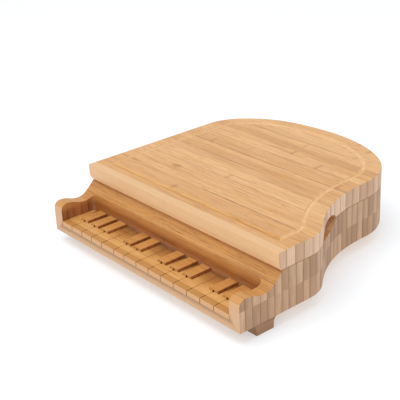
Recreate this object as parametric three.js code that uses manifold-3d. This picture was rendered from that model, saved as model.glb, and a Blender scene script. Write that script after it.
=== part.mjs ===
// A cheese board set shaped like a small grand piano, in millimetres, +Z up.
// The origin is on the table under the middle of the board: +X runs along the keys, +Y to the tail.
// The base is two glued boards with a carved keyboard in front. A cutting board swivels on top of it
// and covers the pockets that hold three cheese tools.
import * as THREE from 'three';
import { mergeVertices } from 'three/addons/utils/BufferGeometryUtils.js';
import Module from 'manifold-3d';

// Overall sizes
const boardWidth = 332;
const boardDepth = 338;
const footHeight = 14.4;
const lowerBoardThickness = 24.1;
const upperBoardThickness = 25;
const lidThickness = 20.6;

// Clearances
const lidGap = 0.3;
const glueGap = 0.3;
const runningGap = 0.1;
const cutOverrun = 20;

// The plan outline past the straight right side: rows of two Bezier handles and an end point,
// each as shares of the board's width and depth, counted from the front left corner.
const curveStartShares = [1, 0.299];
const curvedSideShares = [
  [[1, 0.33], [0.988, 0.36], [0.969, 0.3825]],
  [[0.8785, 0.489], [0.8435, 0.589], [0.8435, 0.735]],
  [[0.8435, 0.809], [0.799, 0.8763], [0.737, 0.9195]],
  [[0.644, 0.985], [0.519, 1], [0.44, 1]],
  [[0.381, 1], [0.249, 0.99], [0.167, 0.951]],
  [[0.122, 0.93], [0, 0.858], [0, 0.749]],
];
const outlineSegments = 12;
const profileSegments = 8;
const cornerSegments = 3;

// The side profile of the front, measured back from the front face and up from the underside
const cheekFaceHeight = 29.4;
const crestSetback = 9;
const crestHeight = 37.1;
const troughSetback = 35;
const troughHeight = 31.6;
const coveSetback = 61;
const waveHandleShare = 0.45;
const roundHandleShare = 0.55;
const coveFootShare = 0.42;
const coveShoulderShares = [0.365, 0.41];

// The keyboard, its saw cuts placed by hand: each as a share of the keyboard's width
const cheekThickness = 15.5;
const pocketDepth = 47.5;
const pocketCornerRadius = 6;
const ledgeHeight = 9.9;
const slabThickness = 6;
const kerfShares = [
  0.066, 0.135, 0.201, 0.269, 0.349, 0.414, 0.488,
  0.561, 0.633, 0.706, 0.78, 0.85, 0.922,
];
const kerfWidth = 0.8;
const kerfLength = 8.5;
const scoreWidth = 0.5;
const scoreDepth = 0.4;
const sharpGroupCounts = [3, 2, 3, 2];
const sharpWidth = 13.8;
const sharpSetback = 19;
const sharpHeight = 2.9;
const sharpBevel = 0.8;
const sharpSeatDepth = 1.5;
const sharpSideGap = 1.6;
const notchAtSharpWidth = 2.2;
const notchAtSharpLength = 3;
const notchAtSharpSetback = 17.4;
const notchAtSharpHeight = 1.9;

// The lid
const lidSetback = 54.8;
const lidNoseRadius = 14;
const lidNoseHeight = 9.2;
const grooveInset = 20;
const grooveFrontInset = 22.5;
const grooveShift = 1.6;
const grooveWidth = 5.6;
const grooveDepth = 1.8;
const grooveSteps = 4;

// The oval finger notch across the seam in the waist, its centre as shares of the board's width and depth
const notchPlaceShares = [0.909, 0.479];
const notchTurn = THREE.MathUtils.degToRad(27);
const notchLength = 54;
const notchHeight = 19.2;
const notchReach = 14;

// The pockets for the tools, each as long as its shares of the board's width leave it
const toolPocketStartShare = 0.136;
const toolPocketEndShare = 0.706;
const toolPocketWidth = 34;
const toolPocketDepth = 20;
const toolPocketRadius = 8;
const firstPocketY = 97;
const pocketPitch = 44;
const fingerTroughX = 58;
const fingerTroughWidth = 26;

// The tools, with each blade's width as a share of its pocket's width
const toolEndGap = 4;
const knifeWidthShare = 0.74;
const forkWidthShare = 0.59;
const chiselWidthShare = 0.88;
const handleLength = 96;
const handleWidth = 21;
const handleThickness = 15;
const neckWidth = 13;
const ferruleLength = 9;
const ferruleWidth = 17;
const ferruleMouthWidth = 15.6;
const bladeThickness = 1.8;
const tangWidth = 6;
const tangLength = 62;
const toolRestGap = 0.3;
const handleSegments = 16;

// The swivel pivot, its place as shares of the board's width and depth
const pivotPlaceShares = [0.121, 0.79];
const boltRadius = 4;
const boltHeadRadius = 7.5;
const boltHeadHeight = 5;
const boltSocketRadius = 3;
const boltSocketDepth = 3;
const boltEndGap = 1;
const washerRadius = 9;
const washerThickness = 1.5;
const counterboreGap = 1.5;
const counterboreDepth = 9;
const bushRadius = 6;
const bushFlangeRadius = 9;
const bushFlangeThickness = 2;
const insertRadius = 7;
const insertLength = 13;
const circleSegments = 12;

// The closing magnets, their places as shares of the board's width and depth
const magnetRadius = 5;
const magnetThickness = 3;
const frontMagnetPlaceShares = [0.9, 0.274];
const rearMagnetPlaceShares = [0.69, 0.81];

// The feet and their screws, the rear foot's place as shares of the board's width and depth
const footThickness = 24;
const footBottomLength = 24;
const footTopLength = 41;
const footStraightHeight = 5;
const footInset = 2;
const frontFootY = 36.5;
const rearFootPlaceShares = [0.358, 0.894];
const screwSpacingShare = 0.5;
const screwLength = 20;
const screwRadius = 1.9;
const screwHeadRadius = 3.6;
const screwHeadHeight = 2.6;
const screwPointLength = 4;
const screwRecess = 1;
const screwSegments = 12;

// Places that follow from the sizes
const frontY = -boardDepth / 2;
const leftX = -boardWidth / 2;
const undersideZ = footHeight;
const glueLineZ = undersideZ + lowerBoardThickness;
const baseTopZ = glueLineZ + upperBoardThickness;
const lidUndersideZ = baseTopZ + lidGap;
const lidTopZ = lidUndersideZ + lidThickness;
const slabBottomZ = undersideZ + ledgeHeight;
const slabTopZ = slabBottomZ + slabThickness;
const keyboardWidth = boardWidth - 2 * cheekThickness;
const kerfPlaces = kerfShares.map((share) => (share - 0.5) * keyboardWidth);
const sharpPlaces = sharpGroupCounts.flatMap((count, group) => {
  const sharpsBefore = sharpGroupCounts.slice(0, group).reduce((sum, value) => sum + value, 0);
  return kerfPlaces.slice(sharpsBefore + group, sharpsBefore + group + count);
});
const counterboreTopZ = undersideZ + counterboreDepth;
const counterboreRadius = washerRadius + counterboreGap;
const toolPocketX = leftX + toolPocketStartShare * boardWidth;
const toolPocketLength = (toolPocketEndShare - toolPocketStartShare) * boardWidth;
const toolX = toolPocketX + toolEndGap;
const toolLength = toolPocketLength - 2 * toolEndGap;
const notch = boardPlace(notchPlaceShares);
const pivot = boardPlace(pivotPlaceShares);
const magnetPlaces = [
  { name: 'front', ...boardPlace(frontMagnetPlaceShares) },
  { name: 'rear', ...boardPlace(rearMagnetPlaceShares) },
];

// A place on the board from its shares of the width and depth, counted from the front left corner
function boardPlace([acrossShare, backShare]) {
  return { x: leftX + acrossShare * boardWidth, y: frontY + backShare * boardDepth };
}

// Materials
const bamboo = { color: 0xd9a86c, roughness: 0.55, metalness: 0 };
const warmBamboo = { color: 0xc8873f, roughness: 0.5, metalness: 0 };
const footBamboo = { color: 0x9c7450, roughness: 0.6, metalness: 0 };
const steel = { color: 0xc9ccd0, roughness: 0.25, metalness: 1 };
const magnetMetal = { color: 0x8e9196, roughness: 0.35, metalness: 1 };
const nylon = { color: 0xe8e6df, roughness: 0.5, metalness: 0 };

const wasm = await Module();
wasm.setup();

function solidOf(geometry) {
  const plain = geometry.clone();
  plain.deleteAttribute('normal');
  plain.deleteAttribute('uv');
  const merged = mergeVertices(plain);
  const vertProperties = merged.attributes.position.array;
  const triVerts = new Uint32Array(merged.index.array);
  return new wasm.Manifold(new wasm.Mesh({ numProp: 3, vertProperties, triVerts }));
}

function geometryOf(solid) {
  const mesh = solid.getMesh();
  const geometry = new THREE.BufferGeometry();
  geometry.setAttribute('position', new THREE.BufferAttribute(mesh.vertProperties, 3));
  geometry.setIndex(new THREE.BufferAttribute(mesh.triVerts, 1));
  return geometry;
}

const model = new THREE.Group();

function addPiece(name, geometry, look) {
  const mesh = new THREE.Mesh(geometry, new THREE.MeshStandardMaterial(look));
  mesh.name = name;
  model.add(mesh);
}

// An upright prism of a plan shape
function prism(shape, bottom, top, curveSegments = cornerSegments) {
  const depth = top - bottom;
  const geometry = new THREE.ExtrudeGeometry(shape, { depth, bevelEnabled: false, curveSegments });
  return geometry.translate(0, 0, bottom);
}

// A prism of a side shape, drawn with Y to the right and Z up, that runs along X
function sidePrism(shape, fromX, toX) {
  const geometry = new THREE.ExtrudeGeometry(shape, {
    depth: toX - fromX,
    bevelEnabled: false,
    curveSegments: profileSegments,
  });
  const turn = new THREE.Matrix4().makeBasis(
    new THREE.Vector3(0, 1, 0),
    new THREE.Vector3(0, 0, 1),
    new THREE.Vector3(1, 0, 0),
  );
  return geometry.applyMatrix4(turn).translate(fromX, 0, 0);
}

function box(x0, y0, z0, x1, y1, z1) {
  const geometry = new THREE.BoxGeometry(x1 - x0, y1 - y0, z1 - z0);
  return geometry.translate((x0 + x1) / 2, (y0 + y1) / 2, (z0 + z1) / 2);
}

function circleShape(x, y, radius) {
  return new THREE.Shape().absarc(x, y, radius, 0, 2 * Math.PI);
}

function rod(x, y, radius, bottom, top) {
  return prism(circleShape(x, y, radius), bottom, top, circleSegments);
}

function roundedRectangle(x0, y0, x1, y1, radius) {
  const shape = new THREE.Shape();
  shape.moveTo(x0 + radius, y0);
  shape.lineTo(x1 - radius, y0);
  shape.absarc(x1 - radius, y0 + radius, radius, -Math.PI / 2, 0);
  shape.lineTo(x1, y1 - radius);
  shape.absarc(x1 - radius, y1 - radius, radius, 0, Math.PI / 2);
  shape.lineTo(x0 + radius, y1);
  shape.absarc(x0 + radius, y1 - radius, radius, Math.PI / 2, Math.PI);
  shape.lineTo(x0, y0 + radius);
  shape.absarc(x0 + radius, y0 + radius, radius, Math.PI, 1.5 * Math.PI);
  return shape;
}

// A turned piece whose profile rows are a radius and a height, standing at a place
function turned(rows, x, y, segments) {
  const points = rows.map(([radius, height]) => new THREE.Vector2(radius, height));
  const geometry = new THREE.LatheGeometry(points, segments);
  return geometry.rotateX(Math.PI / 2).translate(x, y, 0);
}

function tube(x, y, innerRadius, outerRadius, bottom, top) {
  const shape = circleShape(x, y, outerRadius);
  shape.holes.push(new THREE.Path().absarc(x, y, innerRadius, 0, 2 * Math.PI));
  return prism(shape, bottom, top, circleSegments);
}

// The board's plan, from a front line to the tail
function planShape(setback) {
  const place = (shares) => Object.values(boardPlace(shares));
  const shape = new THREE.Shape();
  shape.moveTo(leftX, frontY + setback);
  shape.lineTo(leftX + boardWidth, frontY + setback);
  shape.lineTo(...place(curveStartShares));
  for (const [first, second, end] of curvedSideShares) {
    shape.bezierCurveTo(...place(first), ...place(second), ...place(end));
  }
  return shape;
}

// The front of the base seen from the side: cheek face, rounded nose, wave and cove up to the lid
function frontProfile() {
  const crest = new THREE.Vector2(frontY + crestSetback, undersideZ + crestHeight);
  const trough = new THREE.Vector2(frontY + troughSetback, undersideZ + troughHeight);
  const coveTop = new THREE.Vector2(frontY + coveSetback, baseTopZ);
  const faceTopZ = undersideZ + cheekFaceHeight;
  const wave = waveHandleShare * (trough.x - crest.x);
  const shape = new THREE.Shape();
  shape.moveTo(frontY - cutOverrun, undersideZ);
  shape.lineTo(frontY - cutOverrun, faceTopZ);
  shape.lineTo(frontY, faceTopZ);
  shape.bezierCurveTo(
    frontY, faceTopZ + roundHandleShare * (crest.y - faceTopZ),
    crest.x - roundHandleShare * crestSetback, crest.y,
    crest.x, crest.y,
  );
  shape.bezierCurveTo(crest.x + wave, crest.y, trough.x - wave, trough.y, trough.x, trough.y);
  const run = coveTop.x - trough.x;
  const rise = coveTop.y - trough.y;
  const [shoulderRunShare, shoulderRiseShare] = coveShoulderShares;
  shape.bezierCurveTo(
    trough.x + coveFootShare * run, trough.y,
    coveTop.x - shoulderRunShare * run, coveTop.y - shoulderRiseShare * rise,
    coveTop.x, coveTop.y,
  );
  shape.lineTo(coveTop.x, baseTopZ + cutOverrun);
  shape.lineTo(frontY + boardDepth + cutOverrun, baseTopZ + cutOverrun);
  shape.lineTo(frontY + boardDepth + cutOverrun, undersideZ);
  return shape;
}

// The keyboard pocket's plan with a gap to its walls, open past the front by an overrun
function pocketShape(gap, overrun) {
  const halfWidth = keyboardWidth / 2 - gap;
  const back = frontY + pocketDepth - gap;
  const radius = pocketCornerRadius - gap;
  const shape = new THREE.Shape();
  shape.moveTo(-halfWidth, frontY - overrun);
  shape.lineTo(halfWidth, frontY - overrun);
  shape.lineTo(halfWidth, back - radius);
  shape.absarc(halfWidth - radius, back - radius, radius, 0, Math.PI / 2);
  shape.lineTo(radius - halfWidth, back);
  shape.absarc(radius - halfWidth, back - radius, radius, Math.PI / 2, Math.PI);
  return shape;
}

// The slab of white keys: sawn apart at the front edge, scored behind that, with a seat for each sharp
function keyboardSlab() {
  let slab = solidOf(prism(pocketShape(glueGap, 0), slabBottomZ, slabTopZ));
  for (const x of kerfPlaces) {
    const kerf = box(
      x - kerfWidth / 2, frontY - cutOverrun, slabBottomZ - cutOverrun,
      x + kerfWidth / 2, frontY + kerfLength, slabTopZ + cutOverrun,
    );
    const score = box(
      x - scoreWidth / 2, frontY - cutOverrun, slabTopZ - scoreDepth,
      x + scoreWidth / 2, frontY + pocketDepth + cutOverrun, slabTopZ + cutOverrun,
    );
    slab = slab.subtract(solidOf(kerf)).subtract(solidOf(score));
  }
  for (const x of sharpPlaces) {
    const halfSeat = sharpWidth / 2 + sharpSideGap;
    const seat = box(
      x - halfSeat, frontY + sharpSetback, slabTopZ - sharpSeatDepth,
      x + halfSeat, frontY + pocketDepth + cutOverrun, slabTopZ + cutOverrun,
    );
    slab = slab.subtract(solidOf(seat)).subtract(notchAtSharp(x));
  }
  addPiece('keyboard_slab', geometryOf(slab), warmBamboo);
}

// The small notch where a saw cut ends in the foot of a sharp's front
function notchAtSharp(x) {
  const front = frontY + notchAtSharpSetback;
  return solidOf(box(
    x - notchAtSharpWidth / 2, front, slabTopZ - sharpSeatDepth,
    x + notchAtSharpWidth / 2, front + notchAtSharpLength, slabTopZ + notchAtSharpHeight,
  ));
}

function sharpKeys() {
  const front = frontY + sharpSetback;
  const back = frontY + pocketDepth - glueGap;
  const topZ = slabTopZ + sharpHeight;
  const shape = new THREE.Shape();
  shape.moveTo(front, slabTopZ - sharpSeatDepth);
  shape.lineTo(front, topZ - sharpBevel);
  shape.lineTo(front + sharpBevel, topZ);
  shape.lineTo(back, topZ);
  shape.lineTo(back, slabTopZ - sharpSeatDepth);
  sharpPlaces.forEach((x, order) => {
    const name = `sharp_key_${String(order + 1).padStart(2, '0')}`;
    const sharp = solidOf(sidePrism(shape, x - sharpWidth / 2, x + sharpWidth / 2));
    addPiece(name, geometryOf(sharp.subtract(notchAtSharp(x))), warmBamboo);
  });
}

// The screw's profile, grown by a gap for its hole, with the recess below its head left open
function screwRows(gap, bottom) {
  const headBottom = screwRecess;
  const neck = headBottom + screwHeadHeight;
  const tip = headBottom + screwLength;
  return [
    [0, bottom],
    [screwHeadRadius + gap, bottom],
    [screwHeadRadius + gap, headBottom + gap],
    [screwRadius + gap, neck + gap],
    [screwRadius + gap, tip - screwPointLength + gap],
    [0, tip + gap],
  ];
}

// The places of the three feet; lengthwise is the direction of a foot's long side
function footPlans() {
  const frontX = boardWidth / 2 - footInset - footThickness / 2;
  const y = frontY + frontFootY;
  return [
    { name: 'front_left_foot', x: -frontX, y, lengthwise: new THREE.Vector2(0, 1) },
    { name: 'front_right_foot', x: frontX, y, lengthwise: new THREE.Vector2(0, 1) },
    { name: 'rear_foot', ...boardPlace(rearFootPlaceShares), lengthwise: new THREE.Vector2(1, 0) },
  ];
}

function footGeometry(foot) {
  const halfBottom = footBottomLength / 2;
  const halfTop = footTopLength / 2;
  const flare = halfTop - halfBottom;
  const rise = footHeight - footStraightHeight;
  const shape = new THREE.Shape();
  shape.moveTo(-halfBottom, 0);
  shape.lineTo(halfBottom, 0);
  shape.lineTo(halfBottom, footStraightHeight);
  shape.bezierCurveTo(
    halfBottom, footStraightHeight + roundHandleShare * rise,
    halfTop - roundHandleShare * flare, footHeight,
    halfTop, footHeight,
  );
  shape.lineTo(-halfTop, footHeight);
  shape.bezierCurveTo(
    roundHandleShare * flare - halfTop, footHeight,
    -halfBottom, footStraightHeight + roundHandleShare * rise,
    -halfBottom, footStraightHeight,
  );
  const geometry = sidePrism(shape, -footThickness / 2, footThickness / 2);
  const { x: alongX, y: alongY } = foot.lengthwise;
  const turn = new THREE.Matrix4().makeBasis(
    new THREE.Vector3(alongY, -alongX, 0),
    new THREE.Vector3(alongX, alongY, 0),
    new THREE.Vector3(0, 0, 1),
  );
  return geometry.applyMatrix4(turn).translate(foot.x, foot.y, 0);
}

function screwPlaces(foot) {
  const offset = foot.lengthwise.clone().multiplyScalar(screwSpacingShare * footBottomLength / 2);
  return [
    { x: foot.x - offset.x, y: foot.y - offset.y },
    { x: foot.x + offset.x, y: foot.y + offset.y },
  ];
}

function screwHole(place) {
  return solidOf(turned(screwRows(glueGap, -cutOverrun), place.x, place.y, screwSegments));
}

function feetAndScrews() {
  for (const foot of footPlans()) {
    let solid = solidOf(footGeometry(foot));
    screwPlaces(foot).forEach((place, order) => {
      solid = solid.subtract(screwHole(place));
      const screw = turned(screwRows(0, screwRecess), place.x, place.y, screwSegments);
      addPiece(`${foot.name}_screw_${order + 1}`, screw, steel);
    });
    addPiece(foot.name, geometryOf(solid), footBamboo);
  }
}

function lowerBoard() {
  let board = solidOf(prism(planShape(0), undersideZ, glueLineZ, outlineSegments));
  board = board.subtract(solidOf(prism(pocketShape(0, cutOverrun), slabBottomZ, glueLineZ + cutOverrun)));
  for (const foot of footPlans()) {
    for (const place of screwPlaces(foot)) {
      board = board.subtract(screwHole(place));
    }
  }
  const bore = rod(pivot.x, pivot.y, bushRadius + glueGap, undersideZ - cutOverrun, glueLineZ + cutOverrun);
  const counterbore = rod(pivot.x, pivot.y, counterboreRadius, undersideZ - cutOverrun, counterboreTopZ);
  board = board.subtract(solidOf(bore)).subtract(solidOf(counterbore));
  addPiece('base_lower_board', geometryOf(board), bamboo);
}

function toolCentres() {
  return [0, 1, 2].map((order) => frontY + firstPocketY + order * pocketPitch);
}

// The three pockets and the trough that lets fingers reach under the handles
function toolPockets() {
  const floor = baseTopZ - toolPocketDepth;
  const centres = toolCentres();
  const troughX = toolPocketX + fingerTroughX - fingerTroughWidth / 2;
  const trough = roundedRectangle(
    troughX, centres[0],
    troughX + fingerTroughWidth, centres[centres.length - 1],
    toolPocketRadius,
  );
  let cut = solidOf(prism(trough, floor, baseTopZ + cutOverrun));
  for (const y of centres) {
    const pocket = roundedRectangle(
      toolPocketX, y - toolPocketWidth / 2,
      toolPocketX + toolPocketLength, y + toolPocketWidth / 2,
      toolPocketRadius,
    );
    cut = cut.add(solidOf(prism(pocket, floor, baseTopZ + cutOverrun)));
  }
  return cut;
}

// The finger notch: an oval cut straight into the waist, part in the base and part in the lid
function fingerNotch() {
  const shape = new THREE.Shape();
  shape.absellipse(0, baseTopZ, notchLength / 2, notchHeight / 2, 0, 2 * Math.PI);
  const geometry = sidePrism(shape, -notchReach, cutOverrun);
  return solidOf(geometry.rotateZ(notchTurn).translate(notch.x, notch.y, 0));
}

function upperBoard() {
  const plan = solidOf(prism(planShape(0), glueLineZ, baseTopZ, outlineSegments));
  const profile = solidOf(sidePrism(frontProfile(), leftX - cutOverrun, leftX + boardWidth + cutOverrun));
  let board = plan.intersect(profile);
  board = board.subtract(solidOf(prism(pocketShape(0, cutOverrun), glueLineZ - cutOverrun, baseTopZ)));
  board = board.subtract(toolPockets()).subtract(fingerNotch());
  const bore = rod(pivot.x, pivot.y, bushRadius + glueGap, glueLineZ - cutOverrun, baseTopZ + cutOverrun);
  const flangeSeatZ = baseTopZ + lidGap - runningGap - bushFlangeThickness;
  const flangeSeat = rod(pivot.x, pivot.y, bushFlangeRadius + glueGap, flangeSeatZ, baseTopZ + cutOverrun);
  board = board.subtract(solidOf(bore)).subtract(solidOf(flangeSeat));
  for (const place of magnetPlaces) {
    const seat = rod(
      place.x, place.y, magnetRadius + glueGap,
      baseTopZ - magnetThickness, baseTopZ + cutOverrun,
    );
    board = board.subtract(solidOf(seat));
  }
  addPiece('base_upper_board', geometryOf(board), bamboo);
}

// Each vertex of a closed loop moved inward by a distance, with mitred corners
function insetLoop(points, distance) {
  return points.map((point, index) => {
    const before = points[(index + points.length - 1) % points.length];
    const after = points[(index + 1) % points.length];
    const arriving = point.clone().sub(before).normalize();
    const leaving = after.clone().sub(point).normalize();
    const inward = new THREE.Vector2(-arriving.y - leaving.y, arriving.x + leaving.x).normalize();
    const stretch = distance / (arriving.x * inward.y - arriving.y * inward.x);
    return point.clone().addScaledVector(inward, stretch);
  });
}

// The juice groove's cutter: a rounded section swept round the lid, with an inset of its own in front
function juiceGroove() {
  const outline = planShape(lidSetback + grooveFrontInset - grooveInset).getPoints(outlineSegments);
  if (outline[0].equals(outline[outline.length - 1])) {
    outline.pop();
  }
  const rows = [[grooveInset - grooveWidth / 2, lidTopZ + cutOverrun]];
  for (let step = 0; step <= grooveSteps; step += 1) {
    const angle = Math.PI * step / grooveSteps;
    rows.push([
      grooveInset - grooveWidth / 2 * Math.cos(angle),
      lidTopZ - grooveDepth * Math.sin(angle),
    ]);
  }
  rows.push([grooveInset + grooveWidth / 2, lidTopZ + cutOverrun]);
  const positions = [];
  for (const [inset, height] of rows) {
    for (const point of insetLoop(outline, inset)) {
      positions.push(point.x - grooveShift, point.y, height);
    }
  }
  const indices = [];
  const count = outline.length;
  for (let row = 0; row < rows.length; row += 1) {
    const nextRow = (row + 1) % rows.length;
    for (let column = 0; column < count; column += 1) {
      const nextColumn = (column + 1) % count;
      const a = row * count + column;
      const b = row * count + nextColumn;
      const c = nextRow * count + nextColumn;
      const d = nextRow * count + column;
      indices.push(a, c, b, a, d, c);
    }
  }
  const geometry = new THREE.BufferGeometry();
  geometry.setAttribute('position', new THREE.Float32BufferAttribute(positions, 3));
  geometry.setIndex(indices);
  return solidOf(geometry);
}

// The lid seen from the side, with its lower front edge rolled under
function lidProfile() {
  const lidFront = frontY + lidSetback;
  const pastTail = frontY + boardDepth + cutOverrun;
  const noseTop = lidUndersideZ + lidNoseHeight;
  const bottomAngle = Math.PI + Math.asin(lidNoseHeight / lidNoseRadius);
  const shape = new THREE.Shape();
  shape.moveTo(pastTail, lidUndersideZ);
  shape.lineTo(pastTail, lidTopZ + cutOverrun);
  shape.lineTo(lidFront, lidTopZ + cutOverrun);
  shape.absarc(lidFront + lidNoseRadius, noseTop, lidNoseRadius, Math.PI, bottomAngle);
  return shape;
}

function lidBoard() {
  const plan = solidOf(prism(planShape(0), lidUndersideZ, lidTopZ, outlineSegments));
  const profile = solidOf(sidePrism(lidProfile(), leftX - cutOverrun, leftX + boardWidth + cutOverrun));
  let board = plan.intersect(profile).subtract(juiceGroove()).subtract(fingerNotch());
  const insertSeat = rod(
    pivot.x, pivot.y, insertRadius + glueGap,
    lidUndersideZ - cutOverrun, lidUndersideZ + insertLength + glueGap,
  );
  board = board.subtract(solidOf(insertSeat));
  for (const place of magnetPlaces) {
    const seat = rod(
      place.x, place.y, magnetRadius + glueGap,
      lidUndersideZ - cutOverrun, lidUndersideZ + magnetThickness,
    );
    board = board.subtract(solidOf(seat));
  }
  addPiece('lid_board', geometryOf(board), bamboo);
}

function magnets() {
  for (const { name, x, y } of magnetPlaces) {
    const base = rod(x, y, magnetRadius, baseTopZ - magnetThickness, baseTopZ);
    const lid = rod(x, y, magnetRadius, lidUndersideZ, lidUndersideZ + magnetThickness);
    addPiece(`base_magnet_${name}`, base, magnetMetal);
    addPiece(`lid_magnet_${name}`, lid, magnetMetal);
  }
}

// The bolt hangs from the insert in the lid and turns in the bush, its head in the counterbore
function pivotPieces() {
  const { x, y } = pivot;
  const washerTopZ = counterboreTopZ - runningGap;
  const washerBottomZ = washerTopZ - washerThickness;
  const headTopZ = washerBottomZ - runningGap;
  const headBottomZ = headTopZ - boltHeadHeight;
  const head = solidOf(rod(x, y, boltHeadRadius, headBottomZ, headTopZ));
  const boltTopZ = lidUndersideZ + insertLength - boltEndGap;
  const shank = solidOf(rod(x, y, boltRadius, headTopZ - boltSocketDepth / 2, boltTopZ));
  const hexagon = new THREE.Shape();
  for (let corner = 0; corner < 6; corner += 1) {
    const angle = Math.PI / 3 * corner;
    hexagon.lineTo(x + boltSocketRadius * Math.cos(angle), y + boltSocketRadius * Math.sin(angle));
  }
  const socket = solidOf(prism(hexagon, headBottomZ - cutOverrun, headBottomZ + boltSocketDepth));
  addPiece('pivot_bolt', geometryOf(head.add(shank).subtract(socket)), steel);
  const boreRadius = boltRadius + runningGap;
  addPiece('pivot_washer', tube(x, y, boreRadius, washerRadius, washerBottomZ, washerTopZ), steel);
  const insertTopZ = lidUndersideZ + insertLength;
  addPiece('pivot_insert', tube(x, y, boreRadius, insertRadius, lidUndersideZ, insertTopZ), steel);
  const bushTopZ = lidUndersideZ - runningGap;
  const flangeBottomZ = bushTopZ - bushFlangeThickness;
  const bush = turned([
    [boreRadius, counterboreTopZ],
    [bushRadius, counterboreTopZ],
    [bushRadius, flangeBottomZ],
    [bushFlangeRadius, flangeBottomZ],
    [bushFlangeRadius, bushTopZ],
    [boreRadius, bushTopZ],
    [boreRadius, counterboreTopZ],
  ], x, y, 2 * circleSegments);
  addPiece('pivot_bush', bush, nylon);
}

// A blade's outline past the ferrule: shares of the free length and of the half width, round from the tang
const knifeShares = [
  [0, -0.42], [0.12, -0.9], [0.45, -1], [0.75, -0.86], [0.9, -0.5], [0.98, 0.12], [1, 0.5],
  [0.93, 0.34], [0.88, 0.42], [0.91, 0.66], [0.97, 0.9], [0.84, 0.8], [0.5, 0.62], [0.12, 0.55], [0, 0.42],
];
const forkShares = [
  [0, -0.42], [0.3, -0.5], [0.42, -0.9], [0.55, -1], [1, -0.85], [0.97, -0.62], [0.6, -0.38], [0.54, 0],
  [0.6, 0.38], [0.97, 0.62], [1, 0.85], [0.55, 1], [0.42, 0.9], [0.3, 0.5], [0, 0.42],
];
const chiselShares = [
  [0, -0.42], [0.16, -0.46], [0.32, -0.75], [0.96, -1], [1, -0.96],
  [1, 0.96], [0.96, 1], [0.32, 0.75], [0.16, 0.46], [0, 0.42],
];
const toolPlans = [
  { name: 'cheese_knife', widthShare: knifeWidthShare, shares: knifeShares },
  { name: 'cheese_fork', widthShare: forkWidthShare, shares: forkShares },
  { name: 'cheese_chisel', widthShare: chiselWidthShare, shares: chiselShares },
];

// The handle's turned profile: shares of its length and of its half width, up to the neck
const handleShares = [
  [0, 0], [0.01, 0.42], [0.04, 0.7], [0.12, 0.93], [0.28, 1],
  [0.5, 0.94], [0.72, 0.82], [0.88, 0.8], [1, 0.82],
];

// A turned piece laid along X and flattened to the handle's section
function laidPiece(rows, x, y, z) {
  const points = rows.map(([radius, along]) => new THREE.Vector2(radius, along));
  const geometry = new THREE.LatheGeometry(points, handleSegments);
  geometry.rotateZ(-Math.PI / 2).scale(1, 1, handleThickness / handleWidth);
  return geometry.translate(x, y, z);
}

function bladeGeometry(plan, neckEnd, y, z) {
  const freeLength = toolLength - neckEnd;
  const halfWidth = plan.widthShare * toolPocketWidth / 2;
  const shape = new THREE.Shape();
  shape.moveTo(neckEnd - tangLength, tangWidth / 2);
  shape.lineTo(neckEnd - tangLength, -tangWidth / 2);
  shape.lineTo(neckEnd, -tangWidth / 2);
  for (const [along, across] of plan.shares) {
    shape.lineTo(neckEnd + along * freeLength, across * halfWidth);
  }
  shape.lineTo(neckEnd, tangWidth / 2);
  return prism(shape, -bladeThickness / 2, bladeThickness / 2).translate(toolX, y, z);
}

function cheeseTool(plan, y) {
  const z = baseTopZ - toolPocketDepth + toolRestGap + handleThickness / 2;
  const neckEnd = handleLength + ferruleLength;
  const rows = handleShares.map(([along, across]) => [across * handleWidth / 2, along * handleLength]);
  const neckFaceX = neckEnd - glueGap;
  rows.push([neckWidth / 2, handleLength], [neckWidth / 2, neckFaceX], [0, neckFaceX]);
  const halfWidth = tangWidth / 2 + glueGap;
  const halfThickness = bladeThickness / 2 + glueGap;
  const slot = box(
    toolX + neckEnd - tangLength - glueGap, y - halfWidth, z - halfThickness,
    toolX + neckEnd + cutOverrun, y + halfWidth, z + halfThickness,
  );
  const handle = solidOf(laidPiece(rows, toolX, y, z)).subtract(solidOf(slot));
  addPiece(`${plan.name}_handle`, geometryOf(handle), bamboo);
  const ferruleRows = [
    [neckWidth / 2 + glueGap, handleLength + glueGap],
    [ferruleWidth / 2, handleLength + glueGap],
    [ferruleMouthWidth / 2, neckEnd - glueGap],
    [neckWidth / 2 + glueGap, neckEnd - glueGap],
    [neckWidth / 2 + glueGap, handleLength + glueGap],
  ];
  addPiece(`${plan.name}_ferrule`, laidPiece(ferruleRows, toolX, y, z), steel);
  addPiece(`${plan.name}_blade`, bladeGeometry(plan, neckEnd, y, z), steel);
}

lowerBoard();
upperBoard();
keyboardSlab();
sharpKeys();
feetAndScrews();
lidBoard();
magnets();
pivotPieces();
toolCentres().forEach((y, order) => cheeseTool(toolPlans[order], y));

export default model;
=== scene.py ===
# The looks of a cheese board set shaped like a small grand piano, in metres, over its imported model.
# +X runs along the keys, +Y from the keys to the tail, +Z up, and the table is at zero.
import math

import bmesh
import bpy
from mathutils import Matrix, Vector


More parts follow.
